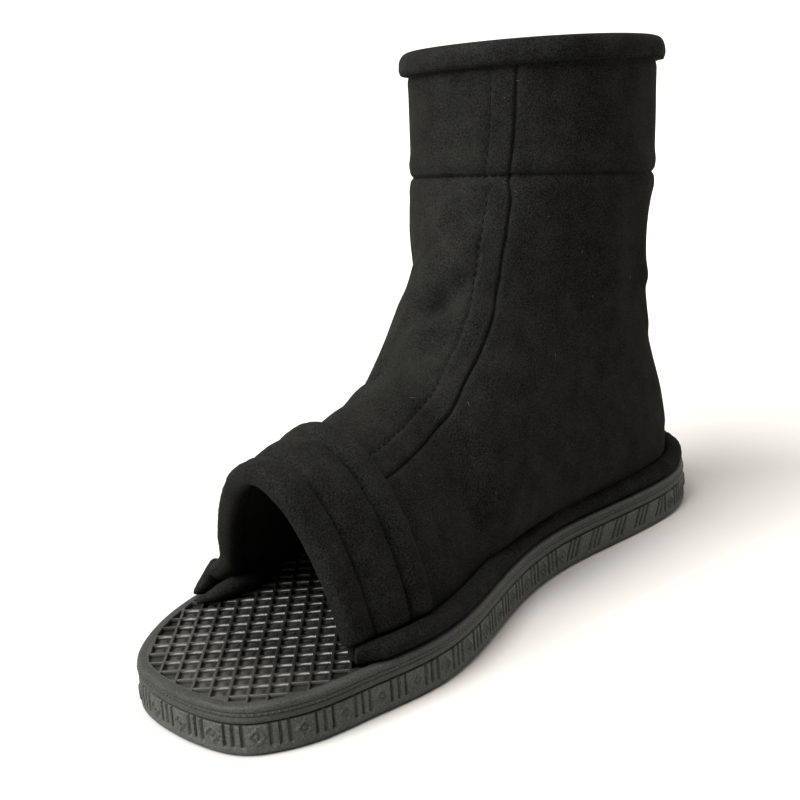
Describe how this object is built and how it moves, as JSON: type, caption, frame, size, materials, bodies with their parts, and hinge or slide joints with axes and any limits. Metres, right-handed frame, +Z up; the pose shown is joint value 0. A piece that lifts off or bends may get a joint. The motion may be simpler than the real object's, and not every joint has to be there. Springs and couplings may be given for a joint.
{
  "type": "ninja boot",
  "caption": "Open-toe cloth ankle boot on a flat two-layer foam sole, with a stitched toe band, a cuff with a rolled collar and a zip at the back.",
  "frame": {"origin": "on the floor, under the middle of the boot's box", "axes": "+Z up, the toe towards -Y, the inner side of the foot towards +X"},
  "size_m": [0.0938, 0.2733, 0.1787],
  "materials": {
    "sole_foam": "matt dark grey foam with a fine skin",
    "footbed_foam": "matt dark grey foam with a studded top",
    "brushed_cloth": "black brushed cloth with a short nap",
    "zip_tape": "black woven tape with a black coil",
    "zip_metal": "dark satin metal"
  },
  "bodies": {
    "boot": {"outsole": "sole_foam", "footbed": "footbed_foam", "upper": "brushed_cloth", "toe_band": "brushed_cloth", "hem_roll": "brushed_cloth", "collar_binding": "brushed_cloth", "zip_tape": "zip_tape", "zip_slider": "zip_metal"},
    "pull_tab": {"zip_pull_tab": "zip_metal"}
  },
  "joints": [
    {"name": "pull_tab_hinge", "type": "hinge", "parent": "boot", "child": "pull_tab", "pos_m": [0.0005, 0.1185, 0.159], "axis": [1, 0, 0], "range_deg": [0, 150]}
  ]
}
